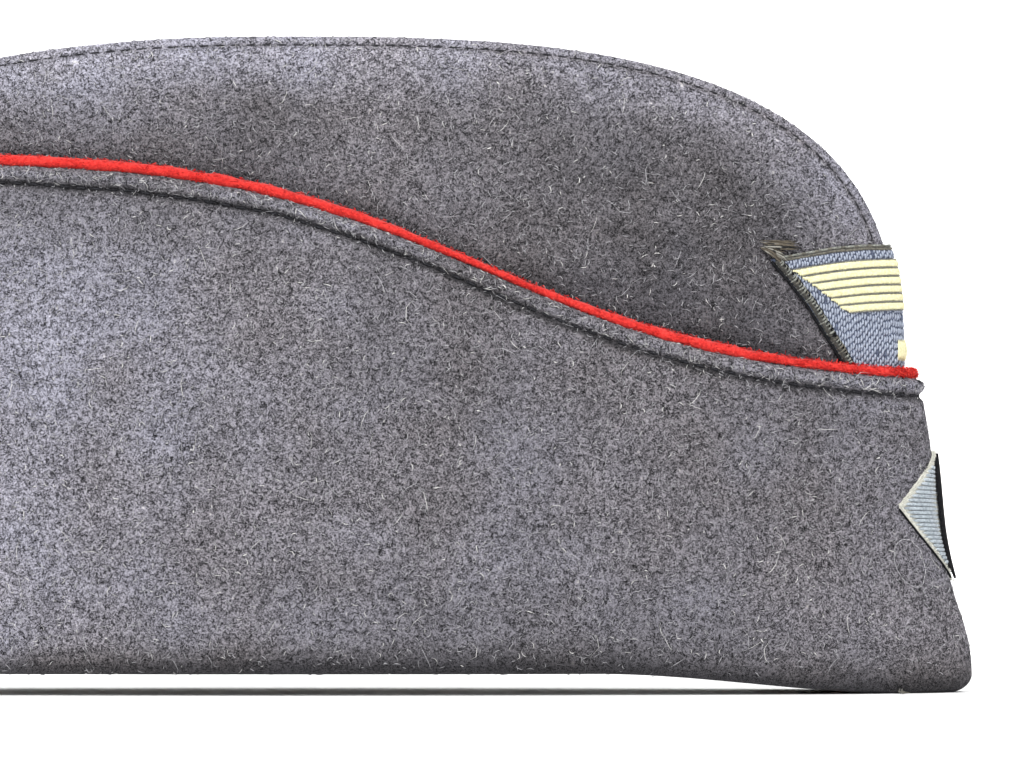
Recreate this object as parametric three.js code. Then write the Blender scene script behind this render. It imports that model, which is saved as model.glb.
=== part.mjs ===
// A garrison (side) cap of wool cloth. Two crown panels meet in a ridge seam, so the cap folds flat along
// its ridge. A stiffened curtain is turned up round the crown, and its free edge is piped. Two cloth badges
// wrap the front. Millimetres. +X is the front, +Y the wearer's left, +Z up. The origin is under the middle
// of the cap, at the height it stands on.
import * as THREE from 'three';

// Driving dimensions
const LENGTH = 284;                 // head size 57: half of 570 round
const HEIGHT = 134.2;               // from the lower edge to the ridge
const CROWN_HALF_WIDTH = 19.1;      // at the lower edge, half way along
// Each end of the crown leans inwards up to its shoulder, then follows a superellipse over to the ridge.
const FRONT_END = { reach: 127.7, shoulder: 64, power: 2.8 };
const REAR_END = { reach: 124, shoulder: 84, power: 2.2 };
const ARCH = 4.3;                   // how far the lower edge lifts over the ears
const ARCH_FLAT = 120;              // the lower edge lies flat beyond this distance from the middle
const ARCH_RUN = 60;
const SEAM_HALF = 0.35;             // half thickness of a seam standing between the two halves
const HALF_GAP = 0.7;               // every piece of one half stays this far from the middle plane
const HEM = 3.4;                    // height of the rolled lower hem
const HEM_TUCK = 2.4;               // how far the hem rolls in under the cap
const PIPING_RADIUS = 1.15;
const PIPING_CLEARANCE = 1.75;      // from the piping's middle down to the curtain's plies
const SWEATBAND_HEIGHT = 32;

// The curtain's edge falls from the rear to the front along an S-shaped line.
const EDGE_FRONT = 63.6;
const EDGE_RISE = 46;
const EDGE_MIDDLE = 43;
const EDGE_SPREAD = 26;
const EDGE_REAR_DROP = 5;
const EDGE_REAR_START = -60;

// Each ply's [inner, outer] distance from the crown's outer face, negative inwards.
const CROWN = [-1.4, 0];
const LINING = [-2.6, -1.9];
const SWEATBAND = [-4.4, -3.1];
const FACING = [0.9, 2.0];
const INTERLINING = [2.3, 3.0];
const CURTAIN = [3.3, 4.7];
const PATCH = [0.6, 1.1];
const PATCH_FIELD = [1.4, 1.8];
const LOZENGE = [5.1, 5.6];
const LOZENGE_FIELD = [5.9, 6.2];
const LOZENGE_BAR = [6.5, 6.8];

// Badges: heights, and half widths measured along the cloth from the middle of the front
const PATCH_TOP = 91.5;
const PATCH_TOP_HALF = 28;
const PATCH_BOTTOM_HALF = 10.5;
const FIELD_LOW = 78;
const FIELD_HIGH = 88;
const FIELD_MARGIN = 4.2;
const LOZENGE_MIDDLE = 35.7;
const LOZENGE_HALF_HEIGHT = 13.3;
const LOZENGE_HALF_WIDTH = 10.8;
const LOZENGE_EDGE = 2;
const BAR_HALF_WIDTH = 2.2;

const HEM_REACH = LENGTH / 2 - CURTAIN[1];   // the crown's half length just above the hem
const LEFT = 1;
const RIGHT = -1;

const mix = (a, b, t) => a + (b - a) * t;
const smooth = (t) => THREE.MathUtils.smoothstep(t, 0, 1);

const endAt = (x) => (x < 0 ? REAR_END : FRONT_END);

// Half length of the crown's level slice at height z, towards one end
function halfLength(z, { reach, shoulder, power }) {
  if (z < shoulder) return mix(HEM_REACH, reach, Math.max(z - HEM, 0) / (shoulder - HEM));
  const rise = Math.min((z - shoulder) / (HEIGHT - shoulder), 1);
  return reach * (1 - rise ** power) ** (1 / power);
}

// Half width of the slice: the cross-section is a parabola that is narrow at the ridge.
function halfWidth(z) {
  return CROWN_HALF_WIDTH * Math.sqrt(Math.max(HEIGHT - z, 0) / HEIGHT);
}

// The slice at height z, moved out by offset, is an ellipse. How far it reaches sideways at x:
function sideReach(x, z, offset) {
  const length = halfLength(z, endAt(x)) + offset;
  const share = Math.min(Math.abs(x) / Math.max(length, 1e-6), 1);
  return Math.max((halfWidth(z) + offset) * Math.sqrt(1 - share * share), HALF_GAP);
}

function lowerEdge(x) {
  return ARCH * smooth((ARCH_FLAT - Math.abs(x)) / ARCH_RUN);
}

function curtainEdge(x) {
  const fall = EDGE_RISE / (1 + Math.exp((x - EDGE_MIDDLE) / EDGE_SPREAD));
  const past = Math.max(EDGE_REAR_START - x, 0) / (REAR_END.reach + EDGE_REAR_START);
  return EDGE_FRONT + fall - EDGE_REAR_DROP * past * past;
}

// The crown's outline in the middle plane, from the rear lower end (s = 0) over the ridge to the front
// lower end (s = 1)
function outline(s) {
  const straight = 0.17;
  const end = s < 0.5 ? REAR_END : FRONT_END;
  const sign = s < 0.5 ? -1 : 1;
  const fromEnd = s < 0.5 ? s : 1 - s;
  if (fromEnd < straight) {
    const z = end.shoulder * fromEnd / straight;
    return { x: sign * halfLength(z, end), z };
  }
  const turn = (fromEnd - straight) / (0.5 - straight) * Math.PI / 2;
  return {
    x: sign * end.reach * Math.max(Math.cos(turn), 0) ** (2 / end.power),
    z: end.shoulder + (HEIGHT - end.shoulder) * Math.sin(turn) ** (2 / end.power),
  };
}

// A piece of cloth: a flat box of columns by rows cells, one cell thick, whose corners are carried on to
// the cap.
// place(u, v, k) gives the point at u along the cap, v up it and k through the cloth, each from 0 to 1.
function cloth(columns, rows, place) {
  const geometry = new THREE.BoxGeometry(1, 1, 1, columns, rows, 1);
  const corners = geometry.attributes.position;
  for (let i = 0; i < corners.count; i += 1) {
    const u = Math.round((corners.getX(i) + 0.5) * columns) / columns;
    const v = Math.round((corners.getY(i) + 0.5) * rows) / rows;
    const p = place(u, v, corners.getZ(i) + 0.5);
    corners.setXYZ(i, p.x, p.y, p.z);
  }
  return geometry;
}

// Right-hand pieces run rear to front and left-hand ones front to rear, so that their outer faces look
// outwards.
const along = (u, side) => (side === RIGHT ? u : 1 - u);

// A ply that fills the crown's outline, shrunk towards a point above the head opening. Its lines fan out
// from the lower edge to the outline, closest together where the cloth turns over the ridge.
function crownPly(side, [inner, outer], shrink, columns, rows) {
  const centre = 30;
  const spread = 0.5;
  return cloth(columns, rows, (u, v, k) => {
    const rim = outline(along(u, side));
    const top = { x: rim.x * shrink, z: centre + (rim.z - centre) * shrink };
    const foot = top.x * spread;
    const down = (1 - v) ** 1.8;
    const x = mix(top.x, foot, down);
    const low = lowerEdge(x) + HEM;
    const z = Math.max(mix(top.z, lowerEdge(foot) + HEM, down), low);
    return { x, y: side * sideReach(x, z, mix(inner, outer, k)), z };
  });
}

// Heights in a band's rows: any hem rows first, then rows that get closer together towards the upper edge
function rowHeight(v, rows, hemRows, low, high) {
  const row = v * rows;
  if (row < hemRows) return low + HEM * row / hemRows;
  const left = 1 - (row - hemRows) / (rows - hemRows);
  return mix(low + HEM, high, 1 - left ** 1.5);
}

// How far the hem has rolled in at a height above the lower edge
function hemRoll(height) {
  const share = THREE.MathUtils.clamp(1 - height / HEM, 0, 1);
  return HEM_TUCK * (1 - Math.sqrt(1 - share * share));
}

// A ply that goes round one side of the cap, from its lower hem to the height high(x). turnFrom is the
// angle at which it starts, from either end. Plies with equal columns and rows lie parallel.
function bandPly(side, [inner, outer], high, { columns, rows, hemRows = 0, turnFrom }) {
  return cloth(columns, rows + hemRows, (u, v, k) => {
    const turn = mix(Math.PI - turnFrom, turnFrom, along(u, side));
    const nominal = FRONT_END.reach * Math.cos(turn);
    const low = lowerEdge(nominal);
    const z = rowHeight(v, rows + hemRows, hemRows, low, high(nominal));
    const offset = mix(inner, outer, k) - hemRoll(z - low);
    return {
      x: (halfLength(z, endAt(nominal)) + offset) * Math.cos(turn),
      y: side * Math.max((halfWidth(z) + offset) * Math.sin(turn), HALF_GAP),
      z,
    };
  });
}

// The angle round the slice at height z that lies at a distance along the cloth from the middle of the
// front
function turnAt(distance, z, offset) {
  const a = halfLength(z, FRONT_END) + offset;
  const b = halfWidth(z) + offset;
  const step = 0.004;
  let turn = 0;
  let walked = 0;
  while (walked < Math.abs(distance)) {
    walked += Math.hypot(a * Math.sin(turn), b * Math.cos(turn)) * step;
    turn += step;
  }
  return Math.sign(distance) * turn;
}

// A badge that wraps the front: half(v) is its half width along the cloth, low and high its heights.
// Its columns crowd towards the middle, where the cloth turns sharply.
function badge([inner, outer], low, high, half, columns, rows) {
  return cloth(columns, rows, (u, v, k) => {
    const z = mix(low, high, v);
    const offset = mix(inner, outer, k);
    const share = Math.sign(u - 0.5) * Math.abs(2 * u - 1) ** 1.6;
    const turn = turnAt(share * half(v), z, 0.5 * (inner + outer));
    return {
      x: (halfLength(z, FRONT_END) + offset) * Math.cos(turn),
      y: (halfWidth(z) + offset) * Math.sin(turn),
      z,
    };
  });
}

function lozenge(ply, halfWide, halfHigh, columns, rows) {
  const point = 0.07;   // the share of its width that is left at the upper and lower points
  const half = (v) => halfWide * Math.max(1 - Math.abs(2 * v - 1), point);
  return badge(ply, LOZENGE_MIDDLE - halfHigh, LOZENGE_MIDDLE + halfHigh, half, columns, rows);
}

// A seam standing in the middle plane; place(u, v) gives x and z, and the seam's thickness is along Y.
function seam(columns, place) {
  return cloth(columns, 1, (u, v, k) => {
    const p = place(u, v);
    return { x: p.x, y: mix(SEAM_HALF, -SEAM_HALF, k), z: p.z };
  });
}

function crownSeam() {
  const depth = 0.035;
  const centre = 30;
  return seam(44, (u, v) => {
    const rim = outline(mix(0.01, 0.99, u));
    const shrink = mix(1 - depth, 1, v);
    return { x: rim.x * shrink, z: Math.max(centre + (rim.z - centre) * shrink, HEM) };
  });
}

function curtainSeam(sign) {
  const end = endAt(sign);
  const top = curtainEdge(sign * end.reach) - PIPING_CLEARANCE;
  return seam(16, (u, v) => {
    const z = mix(1, top, sign > 0 ? 1 - u : u);
    return { x: sign * (halfLength(z, end) + mix(FACING[0], CURTAIN[1] - 0.6, v)), z };
  });
}

function piping(side) {
  const start = 0.08;
  const count = 26;
  const offset = 0.5 * (FACING[0] + CURTAIN[1]);
  const points = [];
  for (let i = 0; i <= count; i += 1) {
    const turn = mix(Math.PI - start, start, i / count);
    const nominal = FRONT_END.reach * Math.cos(turn);
    const z = curtainEdge(nominal);
    points.push(new THREE.Vector3(
      (halfLength(z, endAt(nominal)) + offset) * Math.cos(turn),
      side * Math.max((halfWidth(z) + offset) * Math.sin(turn), HALF_GAP + PIPING_RADIUS),
      z,
    ));
  }
  const section = new THREE.Shape();
  section.absarc(0, 0, PIPING_RADIUS, 0, 2 * Math.PI);
  return new THREE.ExtrudeGeometry(section, {
    steps: 40,
    curveSegments: 4,
    bevelEnabled: false,
    extrudePath: new THREE.CatmullRomCurve3(points),
  });
}

const plyTop = (x) => curtainEdge(x) - PIPING_CLEARANCE;
const bandTop = (x) => lowerEdge(x) + HEM + SWEATBAND_HEIGHT;
const curtainGrid = { columns: 24, rows: 7, turnFrom: 0.035 };

const crownPanel = (side) => crownPly(side, CROWN, 0.993, 28, 9);
const lining = (side) => crownPly(side, LINING, 0.93, 22, 7);
const curtainOuter = (side) => bandPly(side, CURTAIN, plyTop, { ...curtainGrid, hemRows: 2 });
const curtainInterlining = (side) => bandPly(side, INTERLINING, plyTop, curtainGrid);
const curtainFacing = (side) => bandPly(side, FACING, plyTop, curtainGrid);
const sweatband = (side) => bandPly(side, SWEATBAND, bandTop, { columns: 20, rows: 3, turnFrom: 0.17 });

const patchLow = curtainEdge(FRONT_END.reach - PATCH_BOTTOM_HALF) + PIPING_CLEARANCE;

const patchGround = () => {
  const half = (v) => mix(PATCH_BOTTOM_HALF, PATCH_TOP_HALF, v);
  return badge(PATCH, patchLow, PATCH_TOP, half, 16, 3);
};

const patchField = () => {
  const slant = (z) => mix(PATCH_BOTTOM_HALF, PATCH_TOP_HALF, (z - patchLow) / (PATCH_TOP - patchLow));
  const half = (v) => slant(mix(FIELD_LOW, FIELD_HIGH, v)) - FIELD_MARGIN;
  return badge(PATCH_FIELD, FIELD_LOW, FIELD_HIGH, half, 14, 2);
};

const lozengeGround = () => lozenge(LOZENGE, LOZENGE_HALF_WIDTH, LOZENGE_HALF_HEIGHT, 8, 6);

const lozengeField = () => {
  const shrink = 1 - LOZENGE_EDGE / LOZENGE_HALF_WIDTH;
  return lozenge(LOZENGE_FIELD, LOZENGE_HALF_WIDTH * shrink, LOZENGE_HALF_HEIGHT * shrink, 8, 6);
};

const lozengeBar = () => {
  const high = LOZENGE_HALF_HEIGHT - 2 * LOZENGE_EDGE - BAR_HALF_WIDTH;
  return badge(LOZENGE_BAR, LOZENGE_MIDDLE - high, LOZENGE_MIDDLE + high, () => BAR_HALF_WIDTH, 4, 2);
};

// Finishes, one per kind of cloth
const finish = (color, roughness) => () =>
  new THREE.MeshStandardMaterial({ color, roughness, metalness: 0 });
const wool = finish(0x74747a, 0.95);
const facingWool = finish(0x67676e, 0.95);
const canvas = finish(0xb9b19a, 0.9);
const liningCloth = finish(0x5b6068, 0.6);
const leather = finish(0x6a4a32, 0.5);
const redCloth = finish(0xe24341, 0.9);
const patchCloth = finish(0x9ca2b2, 0.9);
const creamCloth = finish(0xe6dfb0, 0.9);
const greyRib = finish(0x8f99a3, 0.8);
const blackCloth = finish(0x1c1c20, 0.9);

const group = new THREE.Group();

function add(name, geometry, material) {
  const mesh = new THREE.Mesh(geometry, material());
  mesh.name = name;
  group.add(mesh);
}

for (const [side, word] of [[RIGHT, 'right'], [LEFT, 'left']]) {
  add(`crown_panel_${word}`, crownPanel(side), wool);
  add(`lining_${word}`, lining(side), liningCloth);
  add(`curtain_outer_${word}`, curtainOuter(side), wool);
  add(`curtain_interlining_${word}`, curtainInterlining(side), canvas);
  add(`curtain_facing_${word}`, curtainFacing(side), facingWool);
  add(`sweatband_${word}`, sweatband(side), leather);
  add(`piping_${word}`, piping(side), redCloth);
}
add('crown_ridge_seam', crownSeam(), wool);
add('curtain_front_seam', curtainSeam(1), wool);
add('curtain_rear_seam', curtainSeam(-1), wool);
add('patch_ground', patchGround(), patchCloth);
add('patch_field', patchField(), creamCloth);
add('lozenge_ground', lozengeGround(), creamCloth);
add('lozenge_field', lozengeField(), greyRib);
add('lozenge_bar', lozengeBar(), blackCloth);

export default group;
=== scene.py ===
"""A garrison (side) cap of milled wool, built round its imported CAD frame. Lengths in the shape functions are
millimetres, as in the CAD: +X is the front, +Y the wearer's left, +Z up. Meshes are made in metres."""

import math

import bpy
import numpy as np
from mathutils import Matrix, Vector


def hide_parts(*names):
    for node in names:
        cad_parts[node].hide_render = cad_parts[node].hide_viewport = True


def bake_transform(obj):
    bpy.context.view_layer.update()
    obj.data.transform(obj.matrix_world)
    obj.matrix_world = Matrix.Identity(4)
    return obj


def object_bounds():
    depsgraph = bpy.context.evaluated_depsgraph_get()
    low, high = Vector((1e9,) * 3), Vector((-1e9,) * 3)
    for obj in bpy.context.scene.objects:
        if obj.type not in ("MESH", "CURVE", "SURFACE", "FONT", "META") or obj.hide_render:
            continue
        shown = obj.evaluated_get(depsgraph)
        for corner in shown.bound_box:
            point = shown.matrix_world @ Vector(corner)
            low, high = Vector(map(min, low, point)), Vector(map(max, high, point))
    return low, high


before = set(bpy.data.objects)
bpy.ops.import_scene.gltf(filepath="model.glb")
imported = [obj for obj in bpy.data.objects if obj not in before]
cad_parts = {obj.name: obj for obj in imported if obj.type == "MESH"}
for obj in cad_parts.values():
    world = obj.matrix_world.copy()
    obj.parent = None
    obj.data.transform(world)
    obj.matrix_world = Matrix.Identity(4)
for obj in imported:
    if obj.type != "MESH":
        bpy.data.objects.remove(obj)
cad_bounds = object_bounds()

MM = 0.001

# ---- the cap's shape, as the CAD has it
RIDGE_PROUD = 0.6                    # the felted ridge stands this much above the CAD's
HALF_LENGTH, _, CAD_HEIGHT = (float(v) / MM for v in cad_bounds[1])
HEIGHT = CAD_HEIGHT + RIDGE_PROUD
CLOTH_OUT = 4.7                      # the curtain's outer face, measured out from the crown's
HEM = 3.4
HEM_REACH = HALF_LENGTH - CLOTH_OUT
CROWN_HALF_WIDTH = 19.1
FRONT_END = {"reach": 127.7, "shoulder": 64.0, "power": 2.95}
REAR_END = {"reach": 124.0, "shoulder": 84.0, "power": 2.2}
STRAIGHT_SHARE = 0.17                # the share of the outline below each shoulder
ARCH, ARCH_FLAT, ARCH_RUN = 4.3, 120.0, 60.0
EDGE_FRONT, EDGE_RISE, EDGE_MIDDLE, EDGE_SPREAD = 63.6, 46.0, 43.0, 26.0
EDGE_REAR_DROP, EDGE_REAR_START = 5.0, -60.0
OUTLINE_CENTRE = 30.0                # height of the point that the crown's outline shrinks towards
RIGHT, LEFT = -1, 1
SIDES = ((RIGHT, "right"), (LEFT, "left"))
UP = (0.0, 0.0, 1.0)


def mix(a, b, t):
    return a + (b - a) * t


def smooth(t):
    t = np.clip(t, 0.0, 1.0)
    return t * t * (3 - 2 * t)


def hump(value, centre, width):
    """1 at the centre, falling away smoothly over width to each side."""
    return np.exp(-((value - centre) / width) ** 2)


def flare(z):
    """How the worn cloth stands out at the front just above the hem, and falls in over that."""
    return 1.5 * hump(z, 9.0, 9.0) - 0.9 * hump(z, 32.0, 11.0)


def half_length(z, front):
    """Half length of the crown's level slice at height z, forwards where front is true, else backwards."""
    def reach(end):
        low = mix(HEM_REACH, end["reach"], np.maximum(z - HEM, 0) / (end["shoulder"] - HEM))
        rise = np.clip((z - end["shoulder"]) / (HEIGHT - end["shoulder"]), 0, 1)
        high = end["reach"] * np.maximum(1 - rise ** end["power"], 0) ** (1 / end["power"])
        return np.where(z < end["shoulder"], low, high)
    return np.where(front, reach(FRONT_END) + flare(z), reach(REAR_END))


def half_width(z):
    return CROWN_HALF_WIDTH * np.sqrt(np.maximum(HEIGHT - z, 0) / HEIGHT)


def side_reach(x, z, offset=0.0):
    """How far the crown's surface, moved out by offset, stands from the middle plane at (x, z)."""
    length = np.maximum(half_length(z, x >= 0) + offset, 1e-6)
    share = np.clip(np.abs(x) / length, 0, 1)
    return np.maximum(half_width(z) + offset, 0) * np.sqrt(1 - share * share)


def lower_edge(x):
    return ARCH * smooth((ARCH_FLAT - np.abs(x)) / ARCH_RUN)


def curtain_edge(x):
    past = np.maximum(EDGE_REAR_START - x, 0) / (REAR_END["reach"] + EDGE_REAR_START)
    return EDGE_FRONT + EDGE_RISE / (1 + np.exp((x - EDGE_MIDDLE) / EDGE_SPREAD)) - EDGE_REAR_DROP * past ** 2


def outline(s):
    """The crown's outline in the middle plane: s = 0 at the rear lower end, 1 at the front one."""
    front = s >= 0.5
    from_end = np.where(front, 1 - s, s)
    turn = np.clip((from_end - STRAIGHT_SHARE) / (0.5 - STRAIGHT_SHARE), 0, 1) * math.pi / 2
    reach, shoulder, power = (np.where(front, FRONT_END[k], REAR_END[k]) for k in FRONT_END)
    low_z = shoulder * from_end / STRAIGHT_SHARE
    low = from_end < STRAIGHT_SHARE
    x = np.where(low, half_length(low_z, front), reach * np.maximum(np.cos(turn), 0) ** (2 / power))
    z = np.where(low, low_z, shoulder + (HEIGHT - shoulder) * np.sin(turn) ** (2 / power))
    return np.where(front, x, -x), z


def inwards(x, z, depth):
    """(x, z) moved by depth towards the outline's centre."""
    away = np.hypot(x, z - OUTLINE_CENTRE)
    return x - depth * x / away, z - depth * (z - OUTLINE_CENTRE) / away


def ripple(x, z, size, seed):
    """A smooth, seeded unevenness between about -1 and 1, with hollows about size across."""
    draw = np.random.default_rng(seed)
    total = np.zeros(np.broadcast(x, z).shape)
    for _ in range(7):
        heading, phase = draw.uniform(0, 2 * math.pi, 2)
        pitch = size * draw.uniform(0.7, 1.6)
        total += np.sin((x * math.cos(heading) + z * math.sin(heading)) * 2 * math.pi / pitch + phase)
    return total / 4.0


# ---- mesh helpers
def unit(vectors):
    return vectors / np.maximum(np.linalg.norm(vectors, axis=-1, keepdims=True), 1e-9)


def sideways(along, helper=None):
    """Two directions square to along and to each other."""
    if helper is None:
        helper = np.where(np.abs(along[..., 2:]) < 0.8, UP, [1.0, 0.0, 0.0])
    first = unit(np.cross(along, helper))
    return first, np.cross(along, first)


def ring(first, second, sides):
    """Points round a circle from two directions, (..., sides, 3)."""
    a = np.arange(sides)[:, None] * 2 * math.pi / sides
    return first[..., None, :] * np.cos(a) + second[..., None, :] * np.sin(a)


def walked(path):
    """How far along a line of points each of them is."""
    return np.concatenate([[0], np.cumsum(np.linalg.norm(np.diff(path, axis=0), axis=1))])


def link(obj):
    bpy.context.scene.collection.objects.link(obj)
    return obj


def new_object(name, verts, faces, materials, index=None):
    """A smooth mesh. index, where it is given, is the material of each face."""
    mesh = bpy.data.meshes.new(name)
    mesh.from_pydata((np.asarray(verts, float) * MM).tolist(), [], [tuple(f) for f in faces])
    mesh.validate()
    mesh.polygons.foreach_set("use_smooth", [True] * len(mesh.polygons))
    for material in materials:
        mesh.materials.append(material)
    if index is not None:
        mesh.polygons.foreach_set("material_index", index.astype(np.int32))
    return link(bpy.data.objects.new(name, mesh))


def set_tone(obj, values):
    """How light or dark the cloth is painted at each vertex, as a share of its own colour: painted light and
    shade, and random mottling.
    """
    attribute = obj.data.attributes.new("tone", "FLOAT", "POINT")
    full = np.ones(len(obj.data.vertices))
    full[:values.size] = values.ravel()
    attribute.data.foreach_set("value", full.astype(np.float32))


def grid_faces(nu, nv, wrap=False):
    """Quads of a grid whose vertex (i, j) has index i * nv + j; wrap joins the last j to the first."""
    i, j = np.meshgrid(np.arange(nu - 1), np.arange(nv if wrap else nv - 1), indexing="ij")
    k = (j + 1) % nv
    quads = np.stack([i * nv + j, (i + 1) * nv + j, (i + 1) * nv + k, i * nv + k], axis=-1)
    return quads.reshape(-1, 4)


def shell(name, outer, inner, materials):
    """A closed sheet between two grids of points of one shape, (columns, rows, 3)."""
    nu, nv, _ = outer.shape
    count = nu * nv
    border = [i * nv for i in range(nu)] + [(nu - 1) * nv + j for j in range(1, nv)]
    border += [i * nv + nv - 1 for i in range(nu - 2, -1, -1)] + list(range(nv - 2, 0, -1))
    rim = [(a, a + count, b + count, b) for a, b in zip(border, border[1:] + border[:1])]
    faces = [*grid_faces(nu, nv), *(grid_faces(nu, nv)[:, ::-1] + count), *rim]
    i, j = nu // 2, nv // 2
    across = np.cross(outer[i + 1, j] - outer[i, j], outer[i, j + 1] - outer[i, j])
    if across @ (outer[i, j] - inner[i, j]) < 0:
        faces = [f[::-1] for f in faces]
    return new_object(name, np.concatenate([outer.reshape(-1, 3), inner.reshape(-1, 3)]), faces, materials)


def bodies(name, sections, materials, index=None, flip=False):
    """Closed bodies in one mesh, each through its closed sections: (bodies, sections, points, 3). index picks
    each body's material."""
    count, nu, nv, _ = sections.shape
    one = [tuple(f) for f in grid_faces(nu, nv, wrap=True)]
    one += [tuple(range(nv)), tuple(range((nu - 1) * nv, nu * nv))[::-1]]
    if flip:
        one = [f[::-1] for f in one]
    faces = [[v + n * nu * nv for v in f] for n in range(count) for f in one]
    return new_object(name, sections.reshape(-1, 3), faces, materials,
                      None if index is None else np.repeat(index, len(one)))


def tube(name, paths, radius, materials, sides=8):
    """Round threads along dense open paths, (threads, points, 3), all in one mesh."""
    paths = np.asarray(paths)
    across, down = sideways(unit(np.gradient(paths, axis=1)), [0.03, 0.05, 1.0])
    return bodies(name, paths[:, :, None] + radius * ring(across, -down, sides), materials)


def strands(name, paths, radius, materials, index=None, sides=3):
    """Tapered strands in one mesh. paths is (count, 4, 3); each strand comes to a point at both ends."""
    count, per = len(paths), 2 + 2 * sides
    around = ring(*sideways(unit(paths[:, 3] - paths[:, 0])), sides)
    around = around * np.broadcast_to(radius, count)[:, None, None]
    first, low, high, last = (paths[:, k:k + 1] for k in range(4))
    verts = np.concatenate([first, low + around, high + around, last], axis=1)
    tris = []
    for k in range(sides):
        n = (k + 1) % sides
        a, b, c, d = 1 + k, 1 + n, 1 + sides + k, 1 + sides + n
        tris += [(0, b, a), (a, b, d), (a, d, c), (c, d, per - 1)]
    faces = (np.array(tris)[None] + (np.arange(count) * per)[:, None, None]).reshape(-1, 3)
    return new_object(name, verts.reshape(-1, 3), faces.tolist(), materials,
                      None if index is None else np.repeat(index, len(tris)))


def stitches(name, starts, ends, radius, materials, lift=None, rings=6, sides=8, index=None):
    """Stitches in one mesh: each is a rounded thread from a start to an end, humped by lift."""
    t = np.linspace(0, 1, rings)[None, :, None]
    centre = mix(starts[:, None], ends[:, None], t)
    if lift is not None:
        centre = centre + lift[:, None] * np.sin(math.pi * t)
    fullness = np.sqrt(np.maximum(1 - (2 * t - 1) ** 4, 0.02))
    swell = np.broadcast_to(radius, len(starts))[:, None, None] * fullness
    around = ring(*sideways(unit(ends - starts)), sides)[:, None]
    return bodies(name, centre[:, :, None] + swell[..., None] * around, materials, index)


# ---- materials
def feed(tree, made, inputs):
    """Sets a node's sockets: a link where the value is another node's socket, else the value itself."""
    for key, value in inputs.items():
        if isinstance(value, bpy.types.NodeSocket):
            tree.links.new(value, made.inputs[key])
        elif made.inputs[key].type == "RGBA":
            made.inputs[key].default_value = (*value, 1.0)
        else:
            made.inputs[key].default_value = value


def material_tree(name):
    material = bpy.data.materials.new(name)
    material.use_nodes = True
    tree = material.node_tree
    return material, tree, tree.nodes["Principled BSDF"]


def node(tree, kind, inputs=None, **settings):
    made = tree.nodes.new(kind)
    for key, value in settings.items():
        setattr(made, key, value)
    feed(tree, made, inputs or {})
    return made


def places(tree):
    """The piece's own coordinates, in millimetres."""
    coordinate = node(tree, "ShaderNodeTexCoord").outputs["Object"]
    return node(tree, "ShaderNodeMapping", {"Vector": coordinate, "Scale": (1 / MM,) * 3}).outputs["Vector"]


def noise(tree, vector, scale, detail=3.0, rough=0.55):
    return node(tree, "ShaderNodeTexNoise",
                {"Vector": vector, "Scale": scale, "Detail": detail, "Roughness": rough}).outputs["Fac"]


def ramp(tree, value, *stops):
    """Each stop is a position and a colour, or a number for a grey."""
    made = node(tree, "ShaderNodeValToRGB", {"Fac": value})
    elements = made.color_ramp.elements
    while len(elements) < len(stops):
        elements.new(0.5)
    for element, (position, colour) in zip(elements, stops):
        element.position = position
        element.color = (*(np.ones(3) * colour), 1.0)
    return made.outputs["Color"]


def maths(tree, operation, a, b=0.0):
    return node(tree, "ShaderNodeMath", {0: a, 1: b}, operation=operation).outputs["Value"]


def weighed(tree, *terms):
    """The sum of several values, each times its weight."""
    total, *others = [maths(tree, "MULTIPLY", value, weight) for value, weight in terms]
    for other in others:
        total = maths(tree, "ADD", total, other)
    return total


def spread(tree, value, low, high):
    return node(tree, "ShaderNodeMapRange", {"Value": value, "To Min": low, "To Max": high}).outputs["Result"]


def blend_colour(tree, fac, a, b, mode="MIX"):
    inputs = {"Fac": fac, "Color1": a, "Color2": b}
    return node(tree, "ShaderNodeMixRGB", inputs, blend_type=mode).outputs["Color"]


def bump(tree, height, distance, strength=1.0):
    return node(tree, "ShaderNodeBump",
                {"Height": height, "Distance": distance * MM, "Strength": strength}).outputs["Normal"]


def curls(tree, scale, seed, width):
    """Thin curled lines, broken into short lengths: single fibres of the milled face."""
    away = (seed, seed * 1.7, seed * 0.6)
    moved = node(tree, "ShaderNodeVectorMath", {0: places(tree), 1: away}, operation="ADD").outputs["Vector"]
    from_middle = maths(tree, "ABSOLUTE", maths(tree, "SUBTRACT", noise(tree, moved, scale, 1.5, 0.6), 0.5))
    line = ramp(tree, from_middle, (0.0, 1.0), (width, 0.0))
    gate = ramp(tree, noise(tree, moved, scale * 1.3, 1.0), (0.47, 0.0), (0.54, 1.0))
    return maths(tree, "MULTIPLY", line, gate)


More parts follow.
